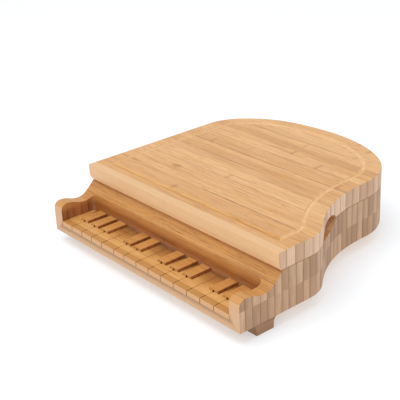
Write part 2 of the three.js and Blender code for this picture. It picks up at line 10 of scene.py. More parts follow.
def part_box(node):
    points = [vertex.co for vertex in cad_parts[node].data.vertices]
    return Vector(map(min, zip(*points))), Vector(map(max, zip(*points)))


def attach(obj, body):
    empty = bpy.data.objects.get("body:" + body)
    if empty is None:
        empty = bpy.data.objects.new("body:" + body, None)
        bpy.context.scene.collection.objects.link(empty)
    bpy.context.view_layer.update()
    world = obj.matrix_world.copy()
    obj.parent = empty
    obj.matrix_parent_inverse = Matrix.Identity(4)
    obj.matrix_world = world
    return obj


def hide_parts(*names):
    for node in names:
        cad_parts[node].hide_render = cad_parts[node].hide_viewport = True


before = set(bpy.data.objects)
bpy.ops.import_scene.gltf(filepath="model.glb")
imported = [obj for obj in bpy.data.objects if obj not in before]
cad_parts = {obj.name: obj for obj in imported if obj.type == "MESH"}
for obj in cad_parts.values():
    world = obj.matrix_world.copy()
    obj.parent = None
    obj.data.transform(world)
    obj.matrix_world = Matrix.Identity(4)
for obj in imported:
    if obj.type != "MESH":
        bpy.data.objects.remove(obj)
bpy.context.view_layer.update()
MM = 0.001

# Sizes of the board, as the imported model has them
BOARD_WIDTH = 332 * MM
BOARD_DEPTH = 338 * MM
LEFT_X = -BOARD_WIDTH / 2
FRONT_Y = -BOARD_DEPTH / 2
CURVE_START = (1, 0.299)
CURVED_SIDE = (
    ((1, 0.33), (0.988, 0.36), (0.969, 0.3825)),
    ((0.8785, 0.489), (0.8435, 0.589), (0.8435, 0.735)),
    ((0.8435, 0.809), (0.799, 0.8763), (0.737, 0.9195)),
    ((0.644, 0.985), (0.519, 1), (0.44, 1)),
    ((0.381, 1), (0.249, 0.99), (0.167, 0.951)),
    ((0.122, 0.93), (0, 0.858), (0, 0.749)),
)
OUTLINE_STEPS = 22
COVE_SETBACK = 61 * MM
KEY_POCKET_DEPTH = 47.5 * MM
CHEEK_THICKNESS = 15.5 * MM
LID_SETBACK = 54.8 * MM
LID_NOSE_RADIUS = 14 * MM
LID_NOSE_HEIGHT = 9.2 * MM
GROOVE_INSET = 20 * MM
GROOVE_FRONT_INSET = 22.5 * MM
GROOVE_SHIFT = 1.6 * MM
GROOVE_WIDTH = 5.6 * MM
GROOVE_DEPTH = 1.8 * MM
NOTCH_PLACE = (0.909, 0.479)
NOTCH_TURN = math.radians(27)
NOTCH_OUTWARD = Vector((math.cos(NOTCH_TURN), math.sin(NOTCH_TURN), 0))
NOTCH_LENGTH = 54 * MM
NOTCH_HEIGHT = 19.2 * MM
NOTCH_REACH = 14 * MM
KERF_LENGTH = 8.5 * MM
SHARP_NOTCH_WIDTH = 2.2 * MM
SHARP_NOTCH_DEPTH = 1.4 * MM
SHARP_NOTCH_HEIGHT = 1.9 * MM
SEAT_GAP = 0.3 * MM
INSERT_RADIUS = 7 * MM
INSERT_LENGTH = 13 * MM
MAGNET_RADIUS = 5 * MM
MAGNET_DEPTH = 3 * MM
TOOL_NECK_RADIUS = 6.5 * MM
FERRULE_MOUTH_RADIUS = 7.8 * MM

# The strips of the lid and of the base: their width and where they begin, in mm
LID_STRIPS = {"strip": 13.05, "shift": 7.1}
BOARD_STRIPS = {"strip": 10.15, "shift": 4.6}
# How much the strips' widths vary, and where in a row of the strips' pattern a strip begins
STRIP_UNEVENNESS = 0.12
STRIP_START = 0.56
# Between two nodes of a bamboo culm, in mm
NODE_SPACING = 215.0
# How square to an axis a face is before it counts as flat
SQUARE_SHARE = 0.99999
# Settings of a node that cuts one shape out of another
CUT = {"operation": "DIFFERENCE", "solver": "EXACT"}


# Node trees written as Python sums

class Level:
    """An output of a node tree, usable in Python sums."""

    def __init__(self, tree, socket):
        self.tree = tree
        self.socket = socket

    def sum(self, operation, first, second):
        return self.tree.node("ShaderNodeMath", {"operation": operation}, {0: first, 1: second})

    def __add__(self, other):
        return self.sum("ADD", self, other)

    def __sub__(self, other):
        return self.sum("SUBTRACT", self, other)

    def __rsub__(self, other):
        return self.sum("SUBTRACT", other, self)

    def __mul__(self, other):
        return self.sum("MULTIPLY", self, other)

    def __truediv__(self, other):
        return self.sum("DIVIDE", self, other)

    def __abs__(self):
        return self.sum("ABSOLUTE", self, 0.0)

    __radd__ = __add__
    __rmul__ = __mul__

    def above(self, other):
        return self.sum("MAXIMUM", self, other)

    def fraction(self):
        return self.sum("FRACT", self, 0.0)

    def root(self):
        return self.sum("SQRT", self, 0.0)

    def between(self, low, high):
        """0 up to the low value, 1 from the high one, and smooth between them."""
        inputs = {"Value": self, "From Min": low, "From Max": high}
        return self.tree.node("ShaderNodeMapRange", {"interpolation_type": "SMOOTHSTEP"}, inputs)

    def other(self, name):
        """Another output of the same node."""
        return Level(self.tree, self.socket.node.outputs[name])


class Tree:
    """A node tree with one method that adds any node."""

    def __init__(self, node_tree):
        self.node_tree = node_tree

    def node(self, kind, settings=None, inputs=None, output=0):
        made = self.node_tree.nodes.new(kind)
        for name, value in (settings or {}).items():
            setattr(made, name, value)
        for key, value in (inputs or {}).items():
            if isinstance(value, Level):
                self.node_tree.links.new(value.socket, made.inputs[key])
            else:
                made.inputs[key].default_value = value
        return Level(self, made.outputs[output])

    def joined(self, parts):
        """One geometry out of several."""
        whole = self.node("GeometryNodeJoinGeometry")
        for part in parts:
            self.node_tree.links.new(part.socket, whole.socket.node.inputs[0])
        return whole

    def blend(self, share, first, second):
        """A colour a share of the way from the first to the second."""
        return self.node("ShaderNodeMix", {"data_type": "RGBA"}, {0: share, 6: first, 7: second}, 2)

    def millimetres(self):
        """The place on the piece in mm, along X, Y and Z."""
        place = self.node("ShaderNodeTexCoord", output="Object")
        parts = self.node("ShaderNodeSeparateXYZ", {}, {0: place})
        return parts * 1000.0, parts.other("Y") * 1000.0, parts.other("Z") * 1000.0

    def vector(self, x=0.0, y=0.0, z=0.0):
        return self.node("ShaderNodeCombineXYZ", {}, {0: x, 1: y, 2: z})

    def scaled(self, vector, amount):
        inputs = {0: vector, 3: amount}
        return self.node("ShaderNodeVectorMath", {"operation": "SCALE"}, inputs)

    def vector_sum(self, first, second):
        return self.node("ShaderNodeVectorMath", {"operation": "ADD"}, {0: first, 1: second})

    def noise(self, x, y, z, detail=2.0, roughness=0.5):
        inputs = {"Vector": self.vector(x, y, z), "Scale": 1.0, "Detail": detail, "Roughness": roughness}
        return self.node("ShaderNodeTexNoise", {}, inputs)

    def chance(self, cell, seed):
        """A number from 0 to 1 that is the same all over one strip."""
        return self.node("ShaderNodeTexWhiteNoise", {"noise_dimensions": "1D"}, {"W": cell + seed})


def tone(red, green, blue):
    """A screen colour of 0 to 255 as a linear colour."""
    parts = []
    for level in (red, green, blue):
        share = level / 255
        parts.append(share / 12.92 if share <= 0.04045 else ((share + 0.055) / 1.055) ** 2.4)
    return (*parts, 1.0)


def deeper(colour, shade):
    """A colour darkened part by part by another."""
    return tuple(part * level for part, level in zip(colour, shade))


def halfway(first, second):
    return tuple((start + end) / 2 for start, end in zip(first, second))


# Finishes

def new_finish(name):
    material = bpy.data.materials.new(name)
    material.use_nodes = True
    tree = Tree(material.node_tree)
    shader = material.node_tree.nodes["Principled BSDF"]
    return material, tree, shader


def feed(tree, shader, name, value):
    if isinstance(value, Level):
        tree.node_tree.links.new(value.socket, shader.inputs[name])
    else:
        shader.inputs[name].default_value = value


def bamboo(
    name, faces, ends, strip=9.9, shift=0.0, seed=0.0, gloss=0.46, even=0.0, line=0.5, streaks=1.0,
    seams=(), knot=None, first_strip=None, lit_edge=None, lengthwise=False,
):
    """Bamboo strips glued side by side, with their fibres along X and their end grain on the X faces.

    faces are the ground, pale, deep and golden tones of the strips' faces, and ends the light,
    dark and boundary tones of their ends. strip is a strip's width and shift where the strips
    begin, gloss the roughness, even how alike the strips are, line how strong the glue lines
    are, and streaks how strong the dark and golden streaks are. seams are rows of a place
    along Y, a strength and the start and end along X of a dark glue line, and knot is the
    place of a knot. first_strip is where the frontmost strip ends, two heights, and its tones
    below and above them, which can carry painted light besides the strip's own paleness; and
    lit_edge is two heights and a tone of painted light that the walls of a recess take on
    between them, lightening their upper part as if lit from above. Lengthwise strips have
    their fibres along Y. All lengths are in mm.
    """
    ground, pale, deep, golden = faces
    end_light, end_dark, end_line = ends
    material, tree, shader = new_finish(name)
    x, y, z = tree.millimetres()
    normal = tree.node("ShaderNodeTexCoord", output="Normal")
    facing = tree.node("ShaderNodeSeparateXYZ", {}, {0: normal})
    if lengthwise:
        x, y, facing = y, x, facing.other("Y")
    end_share = abs(facing).between(0.3, 0.62)

    rows = (y + shift) / strip
    inputs = {"W": rows, "Scale": 1.0, "Randomness": STRIP_UNEVENNESS}
    settings = {"voronoi_dimensions": "1D"}
    cell = tree.node("ShaderNodeTexVoronoi", settings, inputs, "W")
    settings = {"voronoi_dimensions": "1D", "feature": "DISTANCE_TO_EDGE"}
    edge = tree.node("ShaderNodeTexVoronoi", settings, inputs, "Distance")
    first, second, third = (tree.chance(cell, seed + step) for step in (0.0, 7.3, 15.1))

    # Fibres: broad soft bands, thin lines, sparse dark and golden streaks and short flecks, along X
    drift = tree.noise(x * 0.006, cell * 3.1, seed, 1.0)
    band = tree.noise(x * 0.012, y * 0.42, z * 0.42 + seed, 3.0, 0.6)
    fibre = tree.noise(x * 0.035, y * 1.25, z * 1.25 + seed, 4.0, 0.65)
    dark_streak = tree.noise(x * 0.015, y * 0.85, z * 0.85 + seed * 2, 3.0, 0.6).between(0.54, 0.72)
    gold_streak = tree.noise(x * 0.016, y * 0.5, z * 0.5 + seed * 3, 2.0).between(0.54, 0.7)
    fleck = tree.noise(x * 0.07, y * 1.1, z * 1.1 + seed * 4, 2.0, 0.6).between(0.56, 0.72)

    # The nodes of the culm, at a different place in each strip
    offset = tree.noise(x * 0.12, y * 0.35, cell, 2.0) - 0.5
    from_node = abs((x / NODE_SPACING + second + offset * 0.02).fraction() - 0.5) * NODE_SPACING
    node_mark = (1 - from_node.between(0.4, 5.0)) * third.between(0.3, 0.8)

    colour = tree.blend(first.between(0.1, 0.9) * (1 - even), ground, pale)
    deep_share = second.between(0.5, 1.0) * 0.5 * (1 - even) + drift.between(0.5, 0.8) * 0.25
    colour = tree.blend(deep_share, colour, deep)
    colour = tree.blend(band.between(0.35, 0.72) * 0.5, colour, pale)
    colour = tree.blend(gold_streak * 0.5 * streaks, colour, golden)
    streak = (dark_streak * 0.5 + fleck * 0.3) * streaks
    shade = (1 - fibre.between(0.28, 0.6)) * 0.42 + streak + node_mark * 0.35
    colour = tree.blend(shade, colour, deeper(deep, (0.9, 0.84, 0.76, 1.0)))

    # The frontmost strip: its own paler tone, graded by height; a brighter tone given below is painted
    # light
    if first_strip:
        limit, low, high, low_tone, high_tone = first_strip
        first_tone = tree.blend(z.between(low, high), low_tone, high_tone)
        colour = tree.blend((1 - y.between(limit - 0.3, limit + 0.3)) * 0.75, colour, first_tone)
    # Painted light: the upper part of a recess's walls is lightened, as if lit from above
    if lit_edge:
        low, high, edge_tone = lit_edge
        colour = tree.blend(z.between(low, high) * (fibre * 1.9 - 0.15).above(0.1), colour, edge_tone)

    # Glue lines, strong on some stretches and lost on others
    line_chance = tree.noise(x * 0.011, cell * 5.7, seed + 3.0, 1.0).between(0.4, 0.7)
    glue_line = (1 - edge.between(0.012, 0.06)) * line_chance * line
    for seam_y, strength, start, end in seams:
        wander = tree.noise(x * 0.02, seam_y, seed) - 0.5
        near = 1 - abs(y - seam_y + wander * 1.6).between(0.15, 1.3)
        reach = x.between(start - 9, start + 9) * (1 - x.between(end - 9, end + 9))
        fade = tree.noise(x * 0.06, seam_y, seed + 5.0, 2.0).between(0.3, 0.6) * 0.6 + 0.4
        glue_line = glue_line.above(near * reach * fade * strength)
    brown = halfway(deep, tone(118, 66, 26))
    colour = tree.blend(glue_line * (1 - end_share), colour, brown)
    if knot:
        knot_x, knot_y = knot
        across, along = (y - knot_y) / 4.6, (x - knot_x) / 9.5
        spot = 1 - (across * across + along * along + (band - 0.5) * 1.6).between(0.15, 1.0)
        colour = tree.blend(spot * 0.5, colour, brown)

    # End grain: strips of different tones, with fibre bundles as dots that crowd to one side
    bundles = tree.node(
        "ShaderNodeTexVoronoi", {"voronoi_dimensions": "3D"},
        {"Vector": tree.vector(x * 0.03, y, z), "Scale": 0.85, "Randomness": 0.8}, "Distance",
    )
    upright = tree.noise(x * 0.03, y * 1.0, z * 0.035 + seed, 4.0, 0.6)
    dot = (1 - bundles.between(0.2, 0.44)) * 0.4 * (0.2 + second * 0.8)
    slope = 1 - (rows - STRIP_START).fraction().between(0.0, 0.6)
    end_colour = tree.blend(third.between(0.08, 0.92) * 0.75, end_light, end_dark)
    end_colour = tree.blend(slope * (0.1 + first * 0.34), end_colour, end_line)
    end_colour = tree.blend((1 - upright.between(0.3, 0.66)) * 0.34, end_colour, end_line)
    end_colour = tree.blend(dot * 0.5, end_colour, end_line)
    boundary = (1 - edge.between(0.02, 0.085)) * (0.35 + second * 0.5)
    end_colour = tree.blend(boundary, end_colour, end_line)
    # The same painted light on the end grain of a recess's upper walls
    if lit_edge:
        end_colour = tree.blend(z.between(low, high) * 0.6, end_colour, edge_tone)
    colour = tree.blend(end_share, colour, end_colour)

    relief = fibre * 0.5 + band * 0.2 - glue_line * 0.9 - dot * end_share * 0.6
    bump = tree.node("ShaderNodeBump", {}, {"Strength": 0.16, "Distance": 0.0004, "Height": relief})
    feed(tree, shader, "Base Color", colour)
    feed(tree, shader, "Roughness", gloss + (fibre - 0.5) * 0.12 + end_share * 0.14)
    feed(tree, shader, "Normal", bump)
    return material


def brushed_metal(name, light, dark, roughness, scratch):
    """Metal with fine scratches along X and a faint cloudiness."""
    material, tree, shader = new_finish(name)
    x, y, z = tree.millimetres()
    lines = tree.noise(x * 0.06, y * 5.0, z * 5.0, 4.0, 0.7)
    cloud = tree.noise(x * 0.08, y * 0.08, z * 0.08, 3.0)
    shade = lines.between(0.25, 0.75) * 0.6 + cloud.between(0.3, 0.7) * 0.4
    bump = tree.node("ShaderNodeBump", {}, {"Strength": scratch, "Distance": 0.0002, "Height": lines})
    feed(tree, shader, "Base Color", tree.blend(shade, dark, light))
    feed(tree, shader, "Metallic", 1.0)
    feed(tree, shader, "Roughness", roughness + (lines - 0.5) * 0.16)
    feed(tree, shader, "Normal", bump)
    return material


def moulded_nylon(name, light, dark):
    material, tree, shader = new_finish(name)
    place = tree.node("ShaderNodeTexCoord", output="Object")
    grain = tree.node("ShaderNodeTexNoise", {}, {"Vector": place, "Scale": 900.0, "Detail": 3.0})
    bump = tree.node("ShaderNodeBump", {}, {"Strength": 0.1, "Distance": 0.0002, "Height": grain})
    feed(tree, shader, "Base Color", tree.blend(grain.between(0.3, 0.7), dark, light))
    feed(tree, shader, "Roughness", 0.42 + (grain - 0.5) * 0.2)
    feed(tree, shader, "Normal", bump)
    return material


LID_BAMBOO = bamboo(
    "lid_bamboo_strips",
    (tone(224, 169, 108), tone(242, 192, 134), tone(178, 120, 68), tone(224, 162, 70)),
    (tone(238, 200, 168), tone(188, 150, 116), tone(154, 114, 82)),
    **LID_STRIPS, seed=4.0, line=0.35, streaks=1.3, knot=(-83, -42),
    # The frontmost strip is paler, and brighter still low on the rolled nose: painted light where the
    # nose turns under into shade
    first_strip=(-104.1, 64, 72, tone(255, 218, 176), tone(231, 189, 142)),
    seams=(
        (-91.0, 1.0, -143, -88), (-91.0, 0.5, -56, 112), (-65.0, 0.8, -168, -128), (-65.0, 0.9, -8, 152),
        (-25.5, 0.5, -146, 120), (14.0, 0.6, -106, -8), (39.5, 0.9, -150, 118), (66.0, 0.5, -6, 108),
        (119.0, 0.5, -132, 40),
    ),
)
# Paler tones in the juice groove: painted light on its walls
GROOVE_LIGHT_BAMBOO = bamboo(
    "juice_groove_painted_light",
    (tone(236, 186, 130), tone(246, 204, 152), tone(214, 160, 102), tone(236, 186, 110)),
    (tone(240, 196, 142), tone(228, 182, 128), tone(206, 158, 106)),
    **LID_STRIPS, seed=4.0, line=0.3,
)
# Darker golden tones in the groove's front run: painted shade from its front wall
GROOVE_FRONT_SHADE_BAMBOO = bamboo(
    "golden_front_groove_painted_shade",
    (tone(226, 170, 96), tone(238, 188, 120), tone(190, 126, 50), tone(206, 140, 40)),
    (tone(226, 170, 96), tone(214, 156, 84), tone(180, 120, 50)),
    **LID_STRIPS, seed=9.0, line=0.3, streaks=1.8,
)
UPPER_BAMBOO = bamboo(
    "upper_board_bamboo",
    (tone(214, 166, 120), tone(226, 182, 138), tone(196, 142, 96), tone(210, 158, 96)),
    (tone(214, 174, 138), tone(164, 124, 90), tone(116, 76, 48)),
    **BOARD_STRIPS, seed=21.0,
    first_strip=(-161.3, 38, 42, tone(206, 162, 120), tone(214, 166, 118)),
)
LOWER_BAMBOO = bamboo(
    "lower_board_bamboo",
    (tone(216, 170, 128), tone(226, 184, 142), tone(198, 148, 104), tone(212, 162, 104)),
    (tone(214, 172, 136), tone(170, 130, 96), tone(118, 78, 50)),
    **BOARD_STRIPS, seed=38.0,
    first_strip=(-161.3, 14, 20, tone(202, 162, 126), tone(208, 166, 126)),
)
# Warmer, darker tones for the shaped front: partly the wood's own brown, partly painted shade and warm
# reflected light in the cove under the lid
CARVED_TONE_AND_SHADE_BAMBOO = bamboo(
    "carved_front_tone_and_shade",
    (tone(196, 134, 68), tone(216, 158, 88), tone(146, 86, 34), tone(218, 152, 58)),
    (tone(208, 142, 76), tone(186, 116, 56), tone(140, 82, 36)),
    **BOARD_STRIPS, seed=21.0, line=0.9, streaks=1.6,
    first_strip=(-131.0, 38, 51, tone(208, 150, 90), tone(214, 156, 92)),
)
# Dark brown walls of the keyboard's recess: painted shade in the recess, lightened on their upper part
# by painted light
WELL_SHADE_BAMBOO = bamboo(
    "keyboard_well_painted_shade",
    (tone(158, 94, 40), tone(176, 110, 52), tone(118, 62, 22), tone(172, 104, 40)),
    (tone(180, 112, 60), tone(150, 88, 44), tone(92, 48, 20)),
    **BOARD_STRIPS, seed=21.0, line=0.9, streaks=2.0, lit_edge=(39, 48, tone(202, 138, 72)),
)
NOTCH_BAMBOO = bamboo(
    "finger_notch_bamboo",
    (tone(214, 162, 114), tone(228, 180, 130), tone(186, 130, 84), tone(216, 160, 92)),
    (tone(216, 166, 118), tone(190, 136, 90), tone(150, 100, 62)),
    **BOARD_STRIPS, seed=21.0, line=0.6,
)
KEY_BAMBOO = bamboo(
    "keyboard_bamboo_strips",
    (tone(218, 160, 90), tone(236, 182, 110), tone(188, 128, 62), tone(222, 158, 70)),
    (tone(186, 120, 60), tone(164, 100, 48), tone(116, 66, 28)),
    **BOARD_STRIPS, seed=55.0, line=1.0, even=0.2, streaks=1.3,
    first_strip=(-160.7, 29.6, 30.2, tone(208, 158, 114), tone(188, 128, 60)),
)
SHARP_BAMBOO = bamboo(
    "sharp_key_bamboo",
    (tone(210, 148, 78), tone(224, 162, 92), tone(184, 122, 58), tone(212, 144, 62)),
    (tone(186, 116, 56), tone(164, 98, 46), tone(110, 60, 24)),
    shift=7.0, seed=61.0, even=0.3, streaks=1.4,
)
# Dark brown tones for the feet: painted shade, as they stand under the board
FOOT_SHADE_BAMBOO = bamboo(
    "foot_bamboo_painted_shade",
    (tone(150, 108, 74), tone(160, 118, 84), tone(120, 80, 50), tone(150, 104, 62)),
    (tone(164, 126, 96), tone(140, 104, 78), tone(108, 76, 54)),
    strip=12.0, shift=2.0, seed=72.0, lengthwise=True,
)
HANDLE_BAMBOO = bamboo(
    "handle_bamboo",
    (tone(214, 162, 104), tone(228, 180, 124), tone(190, 132, 76), tone(214, 156, 84)),
    (tone(196, 150, 104), tone(170, 122, 80), tone(132, 88, 54)),
    strip=5.2, shift=2.0, seed=83.0, gloss=0.36,
)
# Dark brown for the kerfs' walls and the small notches at the raised keys: painted shade in these narrow
# cuts
CUT_SHADE_BAMBOO = bamboo(
    "narrow_cut_painted_shade",
    (tone(130, 76, 35), tone(146, 88, 43), tone(100, 54, 23), tone(136, 82, 37)),
    (tone(130, 76, 35), tone(112, 64, 30), tone(86, 46, 19)),
    **BOARD_STRIPS, seed=55.0,
)
BLADE_STEEL = brushed_metal("blade_steel", tone(222, 224, 226), tone(178, 181, 185), 0.24, 0.08)
FASTENER_STEEL = brushed_metal("fastener_steel", tone(206, 208, 210), tone(150, 153, 157), 0.34, 0.05)
MAGNET_NICKEL = brushed_metal("magnet_nickel", tone(196, 194, 188), tone(146, 145, 142), 0.3, 0.03)
BUSH_NYLON = moulded_nylon("bush_nylon", tone(238, 235, 226), tone(220, 216, 205))


# Shapes

def new_piece(name, mesh, finishes, body, nodes, finish_of=None):
    """A piece that stands for CAD nodes and rides on a body; a rule may give each face its finish."""
    mesh.materials.clear()
    for finish in finishes:
        mesh.materials.append(finish)
    if finish_of:
        for face in mesh.polygons:
            face.material_index = finishes.index(finish_of(face))
    piece = bpy.data.objects.new(name, mesh)
    bpy.context.scene.collection.objects.link(piece)
    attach(piece, body)
    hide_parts(*nodes)


def plain_mesh(thing, name):
    """The object's mesh with its modifiers applied; the object itself is removed."""
    graph = bpy.context.evaluated_depsgraph_get()
    mesh = bpy.data.meshes.new_from_object(thing.evaluated_get(graph))
    mesh.name = name
    bpy.data.objects.remove(thing)
    return mesh


def shaded(mesh, angle=40):
    """The mesh smooth over its curves, with faces square to an axis kept flat."""
    curved = [max(abs(part) for part in face.normal) <= SQUARE_SHARE for face in mesh.polygons]
    mesh.polygons.foreach_set("use_smooth", curved)
    mesh.set_sharp_from_angle(angle=math.radians(angle))
    thing = bpy.data.objects.new(mesh.name, mesh)
    bpy.context.scene.collection.objects.link(thing)
    evening = thing.modifiers.new("even_shading", "WEIGHTED_NORMAL")
    evening.keep_sharp = True
    evening.weight = 100
    return plain_mesh(thing, mesh.name)


def ease_edges(work, ease, steps, chosen):
    """Eases the sharp edges of a mesh where a rule on their middle says so."""
    edges = [
        edge for edge in work.edges
        if edge.is_manifold and edge.calc_face_angle() > math.radians(35)
        and chosen((edge.verts[0].co + edge.verts[1].co) / 2)
    ]
    bmesh.ops.bevel(
        work, geom=edges, offset=ease, offset_type="OFFSET", segments=steps, profile=0.5,
        affect="EDGES", clamp_overlap=True, loop_slide=True,
    )


def ease_in_place(mesh, ease, steps, chosen):
    work = bmesh.new()
    work.from_mesh(mesh)
    ease_edges(work, ease, steps, chosen)
    work.to_mesh(mesh)
    work.free()


def eased_mesh(node, *rounds):
    """A copy of the CAD piece's mesh, eased in rounds of a width, a number of steps and a rule."""
    work = bmesh.new()
    work.from_mesh(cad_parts[node].data)
    bmesh.ops.remove_doubles(work, verts=work.verts, dist=0.002 * MM)
    bmesh.ops.dissolve_limit(work, angle_limit=math.radians(0.5), verts=work.verts, edges=work.edges)
    for ease, steps, chosen in rounds:
        ease_edges(work, ease, steps, chosen)
    bmesh.ops.recalc_face_normals(work, faces=work.faces)
    mesh = bpy.data.meshes.new(node + "_eased")
    work.to_mesh(mesh)
    work.free()
    return mesh


def everywhere(middle):
    return True


def eased_piece(name, node, finish, body, ease):
    """A piece with a CAD piece's shape, all its edges eased."""
    mesh = shaded(eased_mesh(node, (ease, 2, everywhere)))
    new_piece(name, mesh, [finish], body, [node])


def plan_middle(box):
    """The middle of a box, seen from above."""
    low, high = box
    return Vector(((low.x + high.x) / 2, (low.y + high.y) / 2, 0))


def boxes_of(mark):
    """The boxes of the CAD pieces with a mark in their names."""
    return {name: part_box(name) for name in sorted(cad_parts) if mark in name}


def bezier_point(start, first, second, end, t):
    points = [Vector(point) for point in (start, first, second, end)]
    weights = ((1 - t) ** 3, 3 * t * (1 - t) ** 2, 3 * t * t * (1 - t), t ** 3)
    return sum((point * weight for point, weight in zip(points, weights)), Vector((0, 0)))


def board_place(shares):
    """A place on the board from its shares of the width and depth."""
    return Vector((LEFT_X + shares[0] * BOARD_WIDTH, FRONT_Y + shares[1] * BOARD_DEPTH))


def board_outline(setback):
    """The plan of the board from a front line to the tail, against the clock."""
    front = setback / BOARD_DEPTH
    shares = [Vector((0, front)), Vector((1, front)), Vector(CURVE_START)]
    for first, second, end in CURVED_SIDE:
        start = shares[-1]
        for step in range(1, OUTLINE_STEPS + 1):
            shares.append(bezier_point(start, first, second, end, step / OUTLINE_STEPS))
    return [board_place(share) for share in shares]


SHARP_BOXES = boxes_of("sharp_key_")
WHOLE_OUTLINE = board_outline(0)
NOTCH_CENTRE = board_place(NOTCH_PLACE).to_3d() + Vector((0, 0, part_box("base_upper_board")[1].z))


def edge_distance(middle):
    """How far a point lies from the board's outer edge."""
    point = Vector((middle.x, middle.y))
    return min(
        distance_to_side(point, WHOLE_OUTLINE[index - 1], WHOLE_OUTLINE[index])
        for index in range(len(WHOLE_OUTLINE))
    )


def distance_to_side(point, start, end):
    side = end - start
    if side.length < 1e-9:
        return (point - start).length
    share = min(1, max(0, (point - start).dot(side) / side.length_squared))
    return (point - start - side * share).length


def notch_measures(point):
    """A point's way out from the notch's place, and its oval share: 1 on the oval, less inside."""
    away = point - NOTCH_CENTRE
    along = away.dot(Vector((-NOTCH_OUTWARD.y, NOTCH_OUTWARD.x, 0))) / (NOTCH_LENGTH / 2)
    rise = away.z / (NOTCH_HEIGHT / 2)
    return away.dot(NOTCH_OUTWARD), math.hypot(along, rise)


def at_notch_rim(middle):
    out, oval = notch_measures(middle)
    return out > -6 * MM and 0.93 < oval < 1.07 and edge_distance(middle) < 0.3 * MM


def in_notch(face):
    """Whether a face is one of the notch's own walls."""
    out, oval = notch_measures(face.center)
    if oval > 1.06 or out > 4 * MM or out < -NOTCH_REACH - 0.5 * MM:
        return False
    return abs(face.normal.dot(NOTCH_OUTWARD)) < 0.75 or out < -NOTCH_REACH + 1 * MM


def inward_steps(points):
    """For each corner of a loop, the mitred move that carries both its sides inward by one."""
    moves = []
    for index, point in enumerate(points):
        arriving = (point - points[index - 1]).normalized()
        leaving = (points[(index + 1) % len(points)] - point).normalized()
        inward = Vector((-arriving.y - leaving.y, arriving.x + leaving.x)).normalized()
        moves.append(inward / (arriving.x * inward.y - arriving.y * inward.x))
    return moves


def new_tree(name, sizes):
    """An empty geometry tree with named inputs, and the values of those inputs."""
    group = bpy.data.node_groups.new(name, "GeometryNodeTree")
    group.interface.new_socket("Geometry", in_out="INPUT", socket_type="NodeSocketGeometry")
    group.interface.new_socket("Geometry", in_out="OUTPUT", socket_type="NodeSocketGeometry")
    for size, value in sizes.items():
        kind = "NodeSocketMaterial" if isinstance(value, bpy.types.Material) else "NodeSocketFloat"
        kind = "NodeSocketVector" if isinstance(value, Vector) else kind
        group.interface.new_socket(size, in_out="INPUT", socket_type=kind)
    tree = Tree(group)
    start = tree.node("NodeGroupInput")
    given = {size: start.other(size) for size in ("Geometry", *sizes)}
    return tree, given


def end_tree(tree, shape, finish):
    """The tree's last nodes: real geometry with its finish."""
    shape = tree.node("GeometryNodeRealizeInstances", {}, {0: shape})
    shape = tree.node("GeometryNodeSetMaterial", {}, {"Geometry": shape, "Material": finish})
    out = tree.node_tree.nodes.new("NodeGroupOutput")
    tree.node_tree.links.new(shape.socket, out.inputs[0])


def grown_mesh(name, mesh, tree, sizes):
    """The mesh that a geometry tree makes of a starting mesh."""
    thing = bpy.data.objects.new(name, mesh)
    bpy.context.scene.collection.objects.link(thing)
    growing = thing.modifiers.new(name, "NODES")
    growing.node_group = tree.node_tree
    for item in tree.node_tree.interface.items_tree:
        if item.in_out == "INPUT" and item.name in sizes:
            growing[item.identifier] = sizes[item.name]
    return plain_mesh(thing, name)


def lid_rows(given):
    """Rows of an inset and a height, from the underside over the rim and through the groove."""
    under, top = given["Underside"], given["Top"]
    soft, low_soft = given["Top rounding"], given["Lower rounding"]
    rows = [(low_soft, under), (low_soft * 0.3, under + low_soft * 0.3), (0.0, under + low_soft)]
    for step in range(1, 9):
        rows.append((0.0, under + low_soft + (given["Nose height"] - low_soft) * (step / 8)))
    for step in range(0, 6):
        angle = math.pi / 2 * step / 5
        rows.append((soft * (1 - math.cos(angle)), top - soft * (1 - math.sin(angle))))
    rim_rows = len(rows)
    half, deep, inset = given["Groove width"] * 0.5, given["Groove depth"], given["Groove inset"]
    rows.append((inset - half * 1.14, top))
    for step in range(0, 11):
        angle = math.pi * step / 10
        lip = 0.06 if step in (0, 10) else math.sin(angle)
        reach = 1.03 if step in (0, 10) else 1.0
        rows.append((inset - half * math.cos(angle) * reach, top - deep * lip))
    rows.append((inset + half * 1.14, top))
    return rows, rim_rows


